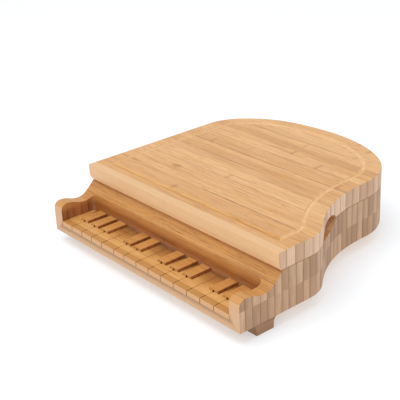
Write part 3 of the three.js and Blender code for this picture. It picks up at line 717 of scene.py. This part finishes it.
def lid_piece():
    """The lid: its plan drawn up in steps into rounded edges, a rolled nose and the juice groove."""
    low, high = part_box("lid_board")
    sizes = {
        "Underside": low.z,
        "Top": high.z,
        "Front line": low.y,
        "Top rounding": 1.0 * MM,
        "Lower rounding": 0.5 * MM,
        "Nose radius": LID_NOSE_RADIUS,
        "Nose height": LID_NOSE_HEIGHT,
        "Groove inset": GROOVE_INSET,
        "Groove width": GROOVE_WIDTH,
        "Groove depth": GROOVE_DEPTH,
        "Insert seat radius": INSERT_RADIUS + SEAT_GAP,
        "Insert seat depth": INSERT_LENGTH + SEAT_GAP,
        "Magnet seat radius": MAGNET_RADIUS + SEAT_GAP,
        "Magnet seat depth": MAGNET_DEPTH,
        "Insert": plan_middle(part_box("pivot_insert")),
        "Front magnet": plan_middle(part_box("lid_magnet_front")),
        "Rear magnet": plan_middle(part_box("lid_magnet_rear")),
        "Notch place": NOTCH_CENTRE,
        "Notch turn": NOTCH_TURN,
        "Notch half length": NOTCH_LENGTH / 2,
        "Notch half height": NOTCH_HEIGHT / 2,
        "Notch reach": NOTCH_REACH,
        "Finish": LID_BAMBOO,
    }
    tree, given = new_tree("lid_from_its_plan", sizes)
    under = given["Underside"]
    rows, rim_rows = lid_rows(given)

    def named(name):
        settings = {"data_type": "FLOAT_VECTOR"}
        return tree.node("GeometryNodeInputNamedAttribute", settings, {"Name": name})

    inward, groove_shift = named("inward"), named("groove_shift")

    def moved(shape, chosen, across, rise, shift=None):
        step = tree.vector_sum(tree.scaled(inward, across), tree.vector(0.0, 0.0, rise))
        step = tree.vector_sum(step, shift) if shift else step
        inputs = {"Geometry": shape, "Selection": chosen, "Offset": step}
        return tree.node("GeometryNodeSetPosition", {}, inputs)

    shape = moved(given["Geometry"], True, *rows[0])
    underside = tree.node("GeometryNodeFlipFaces", {}, {0: shape})
    chosen = True
    for index, (before, now) in enumerate(zip(rows, rows[1:]), 1):
        inputs = {"Mesh": shape, "Selection": chosen, "Offset Scale": 0.0}
        raised = tree.node("GeometryNodeExtrudeMesh", {"mode": "FACES"}, inputs)
        chosen = raised.other("Top")
        shift = groove_shift if index == rim_rows else None
        shape = moved(raised, chosen, now[0] - before[0], now[1] - before[1], shift)
    whole = tree.joined((shape, underside))
    whole = tree.node("GeometryNodeMergeByDistance", {}, {"Geometry": whole, "Distance": 0.005 * MM})

    # The front's lower edge rolls under on an arc
    spot = tree.node("ShaderNodeSeparateXYZ", {}, {0: tree.node("GeometryNodeInputPosition")})
    below = (under + given["Nose height"] - spot.other("Z")).above(0.0)
    radius = given["Nose radius"]
    nose_y = given["Front line"] + radius - (radius * radius - below * below).above(0.0).root()
    place = tree.vector(spot, spot.other("Y").above(nose_y), spot.other("Z"))
    whole = tree.node("GeometryNodeSetPosition", {}, {"Geometry": whole, "Position": place})

    # Seats under the lid for the insert and the magnets, and the oval notch in its side
    cutters = []
    seats = (("Insert", "Insert seat"), ("Front magnet", "Magnet seat"), ("Rear magnet", "Magnet seat"))
    for place, seat in seats:
        radius, depth = given[seat + " radius"], given[seat + " depth"]
        height = depth + 10 * MM
        inputs = {"Vertices": 48, "Radius": radius, "Depth": height}
        cylinder = tree.node("GeometryNodeMeshCylinder", {}, inputs)
        middle = tree.vector(0.0, 0.0, under + depth - height * 0.5)
        inputs = {"Geometry": cylinder, "Translation": tree.vector_sum(given[place], middle)}
        cutters.append(tree.node("GeometryNodeTransform", {}, inputs))
    reach = given["Notch reach"]
    inputs = {"Vertices": 64, "Radius": 1.0, "Depth": reach * 2.0}
    oval = tree.node("GeometryNodeMeshCylinder", {}, inputs)
    size = tree.vector(given["Notch half height"], given["Notch half length"], 1.0)
    turn = tree.vector(0.0, math.pi / 2, given["Notch turn"])
    inputs = {"Geometry": oval, "Translation": given["Notch place"], "Rotation": turn, "Scale": size}
    cutters.append(tree.node("GeometryNodeTransform", {}, inputs))
    whole = tree.node("GeometryNodeMeshBoolean", CUT, {0: whole, 1: tree.joined(cutters)})
    end_tree(tree, whole, given["Finish"])

    outline = board_outline(LID_SETBACK)
    if (outline[0] - outline[-1]).length < 0.01 * MM:
        outline.pop()
    mesh = bpy.data.meshes.new("lid_plan")
    mesh.from_pydata([(point.x, point.y, 0) for point in outline], [], [range(len(outline))])
    at_side = Vector((-GROOVE_SHIFT, 0))
    at_front = Vector((-GROOVE_SHIFT, GROOVE_FRONT_INSET - GROOVE_INSET))
    shifts = [at_front if point.y < low.y + 1 * MM else at_side for point in outline]
    for name, moves in (("inward", inward_steps(outline)), ("groove_shift", shifts)):
        attribute = mesh.attributes.new(name, "FLOAT_VECTOR", "POINT")
        attribute.data.foreach_set("vector", [part for move in moves for part in move.to_3d()])

    grown = grown_mesh("lid", mesh, tree, sizes)
    ease_in_place(grown, 0.6 * MM, 2, at_notch_rim)

    def lid_finish(face):
        """The notch and the groove have finishes of their own: the groove's other runs are paler,
        painted light, and its front run is a darker golden, painted shade.
        """
        if in_notch(face):
            return NOTCH_BAMBOO
        depth = high.z - face.center.z
        from_front = face.center.y - low.y
        if not 0.02 * MM < depth < GROOVE_DEPTH + 0.1 * MM or from_front < 8 * MM:
            return LID_BAMBOO
        if edge_distance(face.center) < 8 * MM:
            return LID_BAMBOO
        return GROOVE_FRONT_SHADE_BAMBOO if from_front < GROOVE_FRONT_INSET + 4 * MM else GROOVE_LIGHT_BAMBOO

    finishes = [LID_BAMBOO, GROOVE_LIGHT_BAMBOO, NOTCH_BAMBOO, GROOVE_FRONT_SHADE_BAMBOO]
    new_piece("lid", shaded(grown, 50), finishes, "lid", ["lid_board"], lid_finish)


def in_key_well(middle):
    """Whether a point lies in the keyboard's recess or on its walls."""
    half = BOARD_WIDTH / 2 - CHEEK_THICKNESS
    return abs(middle.x) < half + 0.6 * MM and middle.y < FRONT_Y + KEY_POCKET_DEPTH + 0.6 * MM


def base_boards():
    """The two glued boards. The shaped front takes warmer, darker tones, partly the wood's own and
    partly painted shade and warm reflected light; the keyboard recess walls take painted shade, and the
    notch a finish of its own.
    """
    node = "base_upper_board"
    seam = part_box(node)[0].z

    def front_edge(middle):
        return middle.y < FRONT_Y + COVE_SETBACK - 2 * MM and middle.z > seam + 1 * MM

    def upper_finish(face):
        middle, facing = face.center, face.normal
        if in_notch(face):
            return NOTCH_BAMBOO
        behind_cove = middle.y > FRONT_Y + COVE_SETBACK + 0.2 * MM
        outside = abs(facing.x) > 0.7 and abs(middle.x) > BOARD_WIDTH / 2 - 0.9 * MM
        front_face = facing.y < -0.9 and middle.y < FRONT_Y + 0.5 * MM
        if behind_cove or outside or front_face or facing.z < -0.7:
            return UPPER_BAMBOO
        # Recess walls take the dark painted shade; the other shaped faces take the carved tones
        return WELL_SHADE_BAMBOO if in_key_well(middle) and facing.z < 0.35 else CARVED_TONE_AND_SHADE_BAMBOO

    mesh = shaded(eased_mesh(node, (0.9 * MM, 3, front_edge), (0.6 * MM, 2, at_notch_rim)))
    finishes = [UPPER_BAMBOO, CARVED_TONE_AND_SHADE_BAMBOO, WELL_SHADE_BAMBOO, NOTCH_BAMBOO]
    new_piece("upper_board", mesh, finishes, "base", [node], upper_finish)

    node = "base_lower_board"
    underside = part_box(node)[0].z

    def lower_edge(middle):
        return middle.z < underside + 0.2 * MM and edge_distance(middle) < 0.6 * MM

    def lower_finish(face):
        front_face = face.normal.y < -0.9 and face.center.y < FRONT_Y + 0.5 * MM
        in_well = in_key_well(face.center) and face.center.z > underside + 9 * MM
        # The lower board's recess walls take the same painted shade
        return WELL_SHADE_BAMBOO if in_well and not front_face else LOWER_BAMBOO

    mesh = shaded(eased_mesh(node, (0.4 * MM, 2, lower_edge)))
    finishes = [LOWER_BAMBOO, WELL_SHADE_BAMBOO]
    new_piece("lower_board", mesh, finishes, "base", [node], lower_finish)


def near_a_sharp_notch(middle):
    """Whether a point lies no further to the side of a raised key's middle than its notch."""
    aside = min(abs(middle.x - plan_middle(box).x) for box in SHARP_BOXES.values())
    return aside < SHARP_NOTCH_WIDTH / 2 + 0.2 * MM


def white_keys():
    """The slab of white keys. Its kerfs' walls and the notches at the raised keys take a dark brown
    finish: painted shade in these narrow cuts.
    """
    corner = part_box("keyboard_slab")[1]

    def key_end(middle):
        return middle.z > corner.z - 0.05 * MM and middle.y < FRONT_Y + KERF_LENGTH + 0.1 * MM

    def slab_finish(face):
        middle = face.center
        in_row = middle.z < corner.z - 0.1 * MM and FRONT_Y + 17 * MM < middle.y < FRONT_Y + 21 * MM
        in_kerf = middle.y < FRONT_Y + KERF_LENGTH + 0.5 * MM and abs(middle.x) < corner.x - MM
        # Kerf walls and the pits at the raised keys' notches take the dark painted shade
        if in_row and near_a_sharp_notch(middle) or in_kerf and abs(face.normal.x) > 0.9:
            return CUT_SHADE_BAMBOO
        return KEY_BAMBOO

    mesh = shaded(eased_mesh("keyboard_slab", (0.3 * MM, 2, key_end)))
    finishes = [KEY_BAMBOO, CUT_SHADE_BAMBOO]
    nodes = ["keyboard_slab"]
    new_piece("white_keys", mesh, finishes, "base", nodes, slab_finish)


def raised_keys():
    """The raised keys: one bar with a small notch at its foot, set at each place."""
    slab_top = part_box("keyboard_slab")[1].z
    low, high = list(SHARP_BOXES.values())[0]
    sizes = {
        "Key width": high.x - low.x,
        "Key length": high.y - low.y,
        "Key height": high.z - low.z,
        "Notch width": SHARP_NOTCH_WIDTH,
        "Notch depth": SHARP_NOTCH_DEPTH,
        "Notch top": slab_top + SHARP_NOTCH_HEIGHT - low.z,
        "Finish": SHARP_BAMBOO,
    }
    tree, given = new_tree("raised_keys_on_their_places", sizes)
    size = tree.vector(given["Key width"], given["Key length"], given["Key height"])
    block = tree.node("GeometryNodeMeshCube", {}, {"Size": size})
    middle = tree.vector(0.0, given["Key length"] * 0.5, given["Key height"] * 0.5)
    block = tree.node("GeometryNodeTransform", {}, {"Geometry": block, "Translation": middle})
    size = tree.vector(given["Notch width"], given["Notch depth"] * 2.0, given["Notch top"] * 2.0)
    notch = tree.node("GeometryNodeMeshCube", {}, {"Size": size})
    bar = tree.node("GeometryNodeMeshBoolean", CUT, {0: block, 1: notch})
    keys = tree.node("GeometryNodeInstanceOnPoints", {}, {"Points": given["Geometry"], "Instance": bar})
    end_tree(tree, keys, given["Finish"])

    def top_edge(middle):
        return middle.z > high.z - 0.05 * MM

    places = bpy.data.meshes.new("raised_key_places")
    feet_of_keys = [(plan_middle(box).x, box[0].y, box[0].z) for box in SHARP_BOXES.values()]
    places.from_pydata(feet_of_keys, [], [])
    mesh = grown_mesh("raised_keys", places, tree, sizes)
    ease_in_place(mesh, 0.7 * MM, 2, top_edge)

    def sharp_finish(face):
        """The walls of a notch lie within its width and a little behind the key's front."""
        middle = face.center
        behind = low.y + 0.02 * MM < middle.y < low.y + SHARP_NOTCH_DEPTH + 0.2 * MM
        low_down = middle.z < slab_top + SHARP_NOTCH_HEIGHT + 0.2 * MM
        # The notch's walls take the dark painted shade
        notch_shade = behind and low_down and near_a_sharp_notch(middle)
        return CUT_SHADE_BAMBOO if notch_shade else SHARP_BAMBOO

    finishes = [SHARP_BAMBOO, CUT_SHADE_BAMBOO]
    nodes = list(SHARP_BOXES)
    new_piece("raised_keys", shaded(mesh), finishes, "base", nodes, sharp_finish)


def turned_mesh(name, rows, steps):
    """A turned body about the Z axis, from rows of a radius and a height."""
    work = bmesh.new()
    rings = []
    for radius, height in rows:
        if radius == 0:
            rings.append([work.verts.new((0, 0, height))] * steps)
            continue
        angles = [2 * math.pi * step / steps for step in range(steps)]
        rings.append([
            work.verts.new((radius * math.cos(angle), radius * math.sin(angle), height))
            for angle in angles
        ])
    for below, above in zip(rings, rings[1:]):
        for step in range(steps):
            after = (step + 1) % steps
            corners = (below[step], below[after], above[after], above[step])
            work.faces.new(list(dict.fromkeys(corners)))
    bmesh.ops.recalc_face_normals(work, faces=work.faces)
    mesh = bpy.data.meshes.new(name)
    work.to_mesh(mesh)
    work.free()
    return mesh


def feet():
    for side in ("front_left_foot", "front_right_foot", "rear_foot"):
        mesh = shaded(eased_mesh(side, (0.8 * MM, 3, foot_edge(side))))
        new_piece(side + "_block", mesh, [FOOT_SHADE_BAMBOO], "base", [side])


def foot_edge(node):
    """A rule that picks the edges of a foot, without those of its screw holes and its top."""
    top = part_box(node)[1].z
    holes = [plan_middle(box) for box in boxes_of(node + "_screw_").values()]

    def chosen(middle):
        at_hole = any((middle - hole).to_2d().length < 4.5 * MM for hole in holes)
        return not at_hole and middle.z < top - 0.5 * MM
    return chosen


def foot_screws():
    """The six wood screws: one turned screw with a cross recess, set at each place."""
    boxes = boxes_of("_foot_screw_")
    low, high = list(boxes.values())[0]
    head = (high.x - low.x) / 2
    length = high.z - low.z
    sizes = {
        "Recess length": head * 1.25,
        "Recess width": head * 0.24,
        "Recess depth": 1.5 * MM,
        "Finish": FASTENER_STEEL,
    }
    tree, given = new_tree("screws_in_their_feet", sizes)
    screw = given["Geometry"]
    for turn in (0.0, math.pi / 2):
        size = tree.vector(given["Recess length"], given["Recess width"], given["Recess depth"] * 2.0)
        slot = tree.node("GeometryNodeMeshCube", {}, {"Size": size})
        inputs = {"Geometry": slot, "Rotation": (0.0, 0.0, turn + 0.5)}
        slot = tree.node("GeometryNodeTransform", {}, inputs)
        screw = tree.node("GeometryNodeMeshBoolean", CUT, {0: screw, 1: slot})
    places = []
    for box in boxes.values():
        place = plan_middle(box) + Vector((0, 0, box[0].z))
        places.append(tree.node("GeometryNodePoints", {}, {"Count": 1, "Position": place}))
    inputs = {"Points": tree.joined(places), "Instance": screw}
    end_tree(tree, tree.node("GeometryNodeInstanceOnPoints", {}, inputs), given["Finish"])
    shank, tip = 1.9 * MM, 4 * MM
    rows = (
        (0, 0), (head * 0.9, 0), (head, 0.3 * MM), (shank, 2.6 * MM), (shank, length - tip), (0, length),
    )
    mesh = shaded(grown_mesh("foot_screws", turned_mesh("wood_screw", rows, 32), tree, sizes))
    new_piece("foot_screws", mesh, [FASTENER_STEEL], "base", list(boxes))


def smooth_rows(rows, steps):
    """The rows of a turned profile with more rows on a smooth curve through them."""
    fine = []
    for index in range(len(rows) - 1):
        around = [Vector(rows[min(max(index + shift, 0), len(rows) - 1)]) for shift in (-1, 0, 1, 2)]
        for step in range(steps):
            t = step / steps
            before, start, end, after = around
            point = 0.5 * (
                2 * start + (end - before) * t
                + (2 * before - 5 * start + 4 * end - after) * t * t
                + (3 * start - before - 3 * end + after) * t ** 3
            )
            fine.append((max(point.x, 0), point.y))
    return fine + [rows[-1]]


# A tool's handle from its butt to its shoulder, as shares of its half width and of its length
HANDLE_ROWS = (
    (0, 0), (0.42, 0.01), (0.7, 0.04), (0.93, 0.12), (1, 0.28),
    (0.94, 0.5), (0.82, 0.72), (0.8, 0.88), (0.82, 1),
)


def cheese_tools():
    """Three tools with turned and flattened handles, drawn ferrules and ground blades."""
    for tool in ("cheese_knife", "cheese_fork", "cheese_chisel"):
        low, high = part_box(tool + "_handle")
        mouth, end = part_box(tool + "_ferrule")
        half_width, half_height = (high.y - low.y) / 2, (high.z - low.z) / 2
        length, shoulder = high.x - low.x, mouth.x - SEAT_GAP - low.x
        middle = Matrix.Translation((low.x, (low.y + high.y) / 2, (low.z + high.z) / 2))
        flatten = Matrix.Diagonal((half_height / half_width, 1, 1, 1))
        lay = middle @ Matrix.Rotation(math.radians(90), 4, "Y") @ flatten

        rows = [(radius * half_width, share * shoulder) for radius, share in HANDLE_ROWS]
        rows = smooth_rows(rows, 4)
        rows += [(TOOL_NECK_RADIUS, shoulder), (TOOL_NECK_RADIUS, length), (0, length)]
        node = tool + "_handle"
        mesh = turned_mesh(node, rows, 40)
        mesh.transform(lay)
        new_piece(tool + "_grip", shaded(mesh), [HANDLE_BAMBOO], "base", [node])

        node = tool + "_ferrule"
        rows = ferrule_rows((end.y - mouth.y) / 2, mouth.x - low.x, end.x - low.x)
        mesh = turned_mesh(node, rows, 40)
        mesh.transform(lay)
        close_tube(mesh)
        new_piece(tool + "_collar", shaded(mesh), [BLADE_STEEL], "base", [node])
        eased_piece(tool + "_steel", tool + "_blade", BLADE_STEEL, "base", 0.4 * MM)


def ferrule_rows(outer, start, stop):
    """A ferrule's section: its rear edge, a groove, a taper to its mouth, and the bore."""
    inner, lip, ease = TOOL_NECK_RADIUS + SEAT_GAP, FERRULE_MOUTH_RADIUS, 0.5 * MM
    return (
        (inner, start), (outer - ease, start), (outer, start + ease),
        (outer * 0.985, start + 2.2 * MM), (outer * 0.945, start + 2.6 * MM),
        (outer * 0.945, start + 3.2 * MM), (outer * 0.97, start + 3.6 * MM),
        (lip, stop - ease), (lip - ease, stop), (inner, stop), (inner, start),
    )


def close_tube(mesh):
    """Joins the first and last ring of a turned tube."""
    work = bmesh.new()
    work.from_mesh(mesh)
    bmesh.ops.remove_doubles(work, verts=work.verts, dist=0.001 * MM)
    bmesh.ops.recalc_face_normals(work, faces=work.faces)
    work.to_mesh(mesh)
    work.free()


def pivot_and_magnets():
    eased_piece("swivel_bolt", "pivot_bolt", FASTENER_STEEL, "lid", 0.5 * MM)
    eased_piece("swivel_washer", "pivot_washer", FASTENER_STEEL, "base", 0.25 * MM)
    eased_piece("lid_insert", "pivot_insert", FASTENER_STEEL, "lid", 0.3 * MM)
    eased_piece("swivel_bush", "pivot_bush", BUSH_NYLON, "base", 0.3 * MM)
    for place in ("front", "rear"):
        for body in ("base", "lid"):
            name, node = f"{place}_{body}_magnet", f"{body}_magnet_{place}"
            eased_piece(name, node, MAGNET_NICKEL, body, 0.3 * MM)


# Camera, floor and light

def photo_camera():
    """The camera at the photo's viewpoint: a long lens, a little rolled."""
    forward = Vector((-0.70274, 0.57587, -0.41777)).normalized()
    level = forward.cross(Vector((0, 0, 1))).normalized()
    upward = level.cross(forward)
    roll = math.radians(-2.713)
    right = level * math.cos(roll) + upward * math.sin(roll)
    up = right.cross(forward)
    turn = Matrix((right, up, -forward)).transposed().to_4x4()
    data = bpy.data.cameras.new("photo_camera")
    data.lens = 86.74
    data.sensor_width = 36
    data.sensor_fit = "HORIZONTAL"
    data.clip_end = 30
    camera = bpy.data.objects.new("photo_camera", data)
    camera.matrix_world = Matrix.Translation((0.77036, -0.70723, 0.53414)) @ turn
    bpy.context.scene.collection.objects.link(camera)
    bpy.context.scene.camera = camera


def pale_floor():
    work = bmesh.new()
    bmesh.ops.create_circle(work, cap_ends=True, segments=64, radius=9)
    mesh = bpy.data.meshes.new("pale_floor")
    work.to_mesh(mesh)
    work.free()
    material, tree, shader = new_finish("white_table")
    place = tree.node("ShaderNodeTexCoord", output="Object")
    haze = tree.node("ShaderNodeTexNoise", {}, {"Vector": place, "Scale": 3.0, "Detail": 2.0})
    feed(tree, shader, "Base Color", tree.blend(haze, (0.66, 0.71, 0.76, 1.0), (0.7, 0.75, 0.8, 1.0)))
    feed(tree, shader, "Roughness", 0.8)
    feed(tree, shader, "Emission Color", tone(255, 255, 255))
    feed(tree, shader, "Emission Strength", 0.37)
    mesh.materials.append(material)
    floor = bpy.data.objects.new("pale_floor", mesh)
    bpy.context.scene.collection.objects.link(floor)


def soft_light(name, place, aim, size, power, colour):
    data = bpy.data.lights.new(name, "AREA")
    data.shape = "DISK"
    data.size = size
    data.energy = power
    data.color = colour
    lamp = bpy.data.objects.new(name, data)
    lamp.location = place
    lamp.rotation_euler = (Vector(aim) - Vector(place)).to_track_quat("-Z", "Y").to_euler()
    bpy.context.scene.collection.objects.link(lamp)


def studio():
    world = bpy.data.worlds.new("white_room")
    world.use_nodes = True
    world.node_tree.nodes["Background"].inputs["Color"].default_value = (1, 1, 1, 1)
    world.node_tree.nodes["Background"].inputs["Strength"].default_value = 0.78
    bpy.context.scene.world = world
    soft_light("overhead_softbox", (-0.12, -0.6, 1.9), (0, 0, 0.05), 1.4, 11, (1, 0.99, 0.97))
    soft_light("front_fill", (0.9, -1.4, 0.45), (0, 0, 0.04), 0.9, 2.6, (0.96, 0.98, 1))
    settings = bpy.context.scene.view_settings
    settings.view_transform = "Standard"
    settings.look = "None"


photo_camera()
pale_floor()
studio()
base_boards()
white_keys()
raised_keys()
lid_piece()
feet()
foot_screws()
pivot_and_magnets()
cheese_tools()
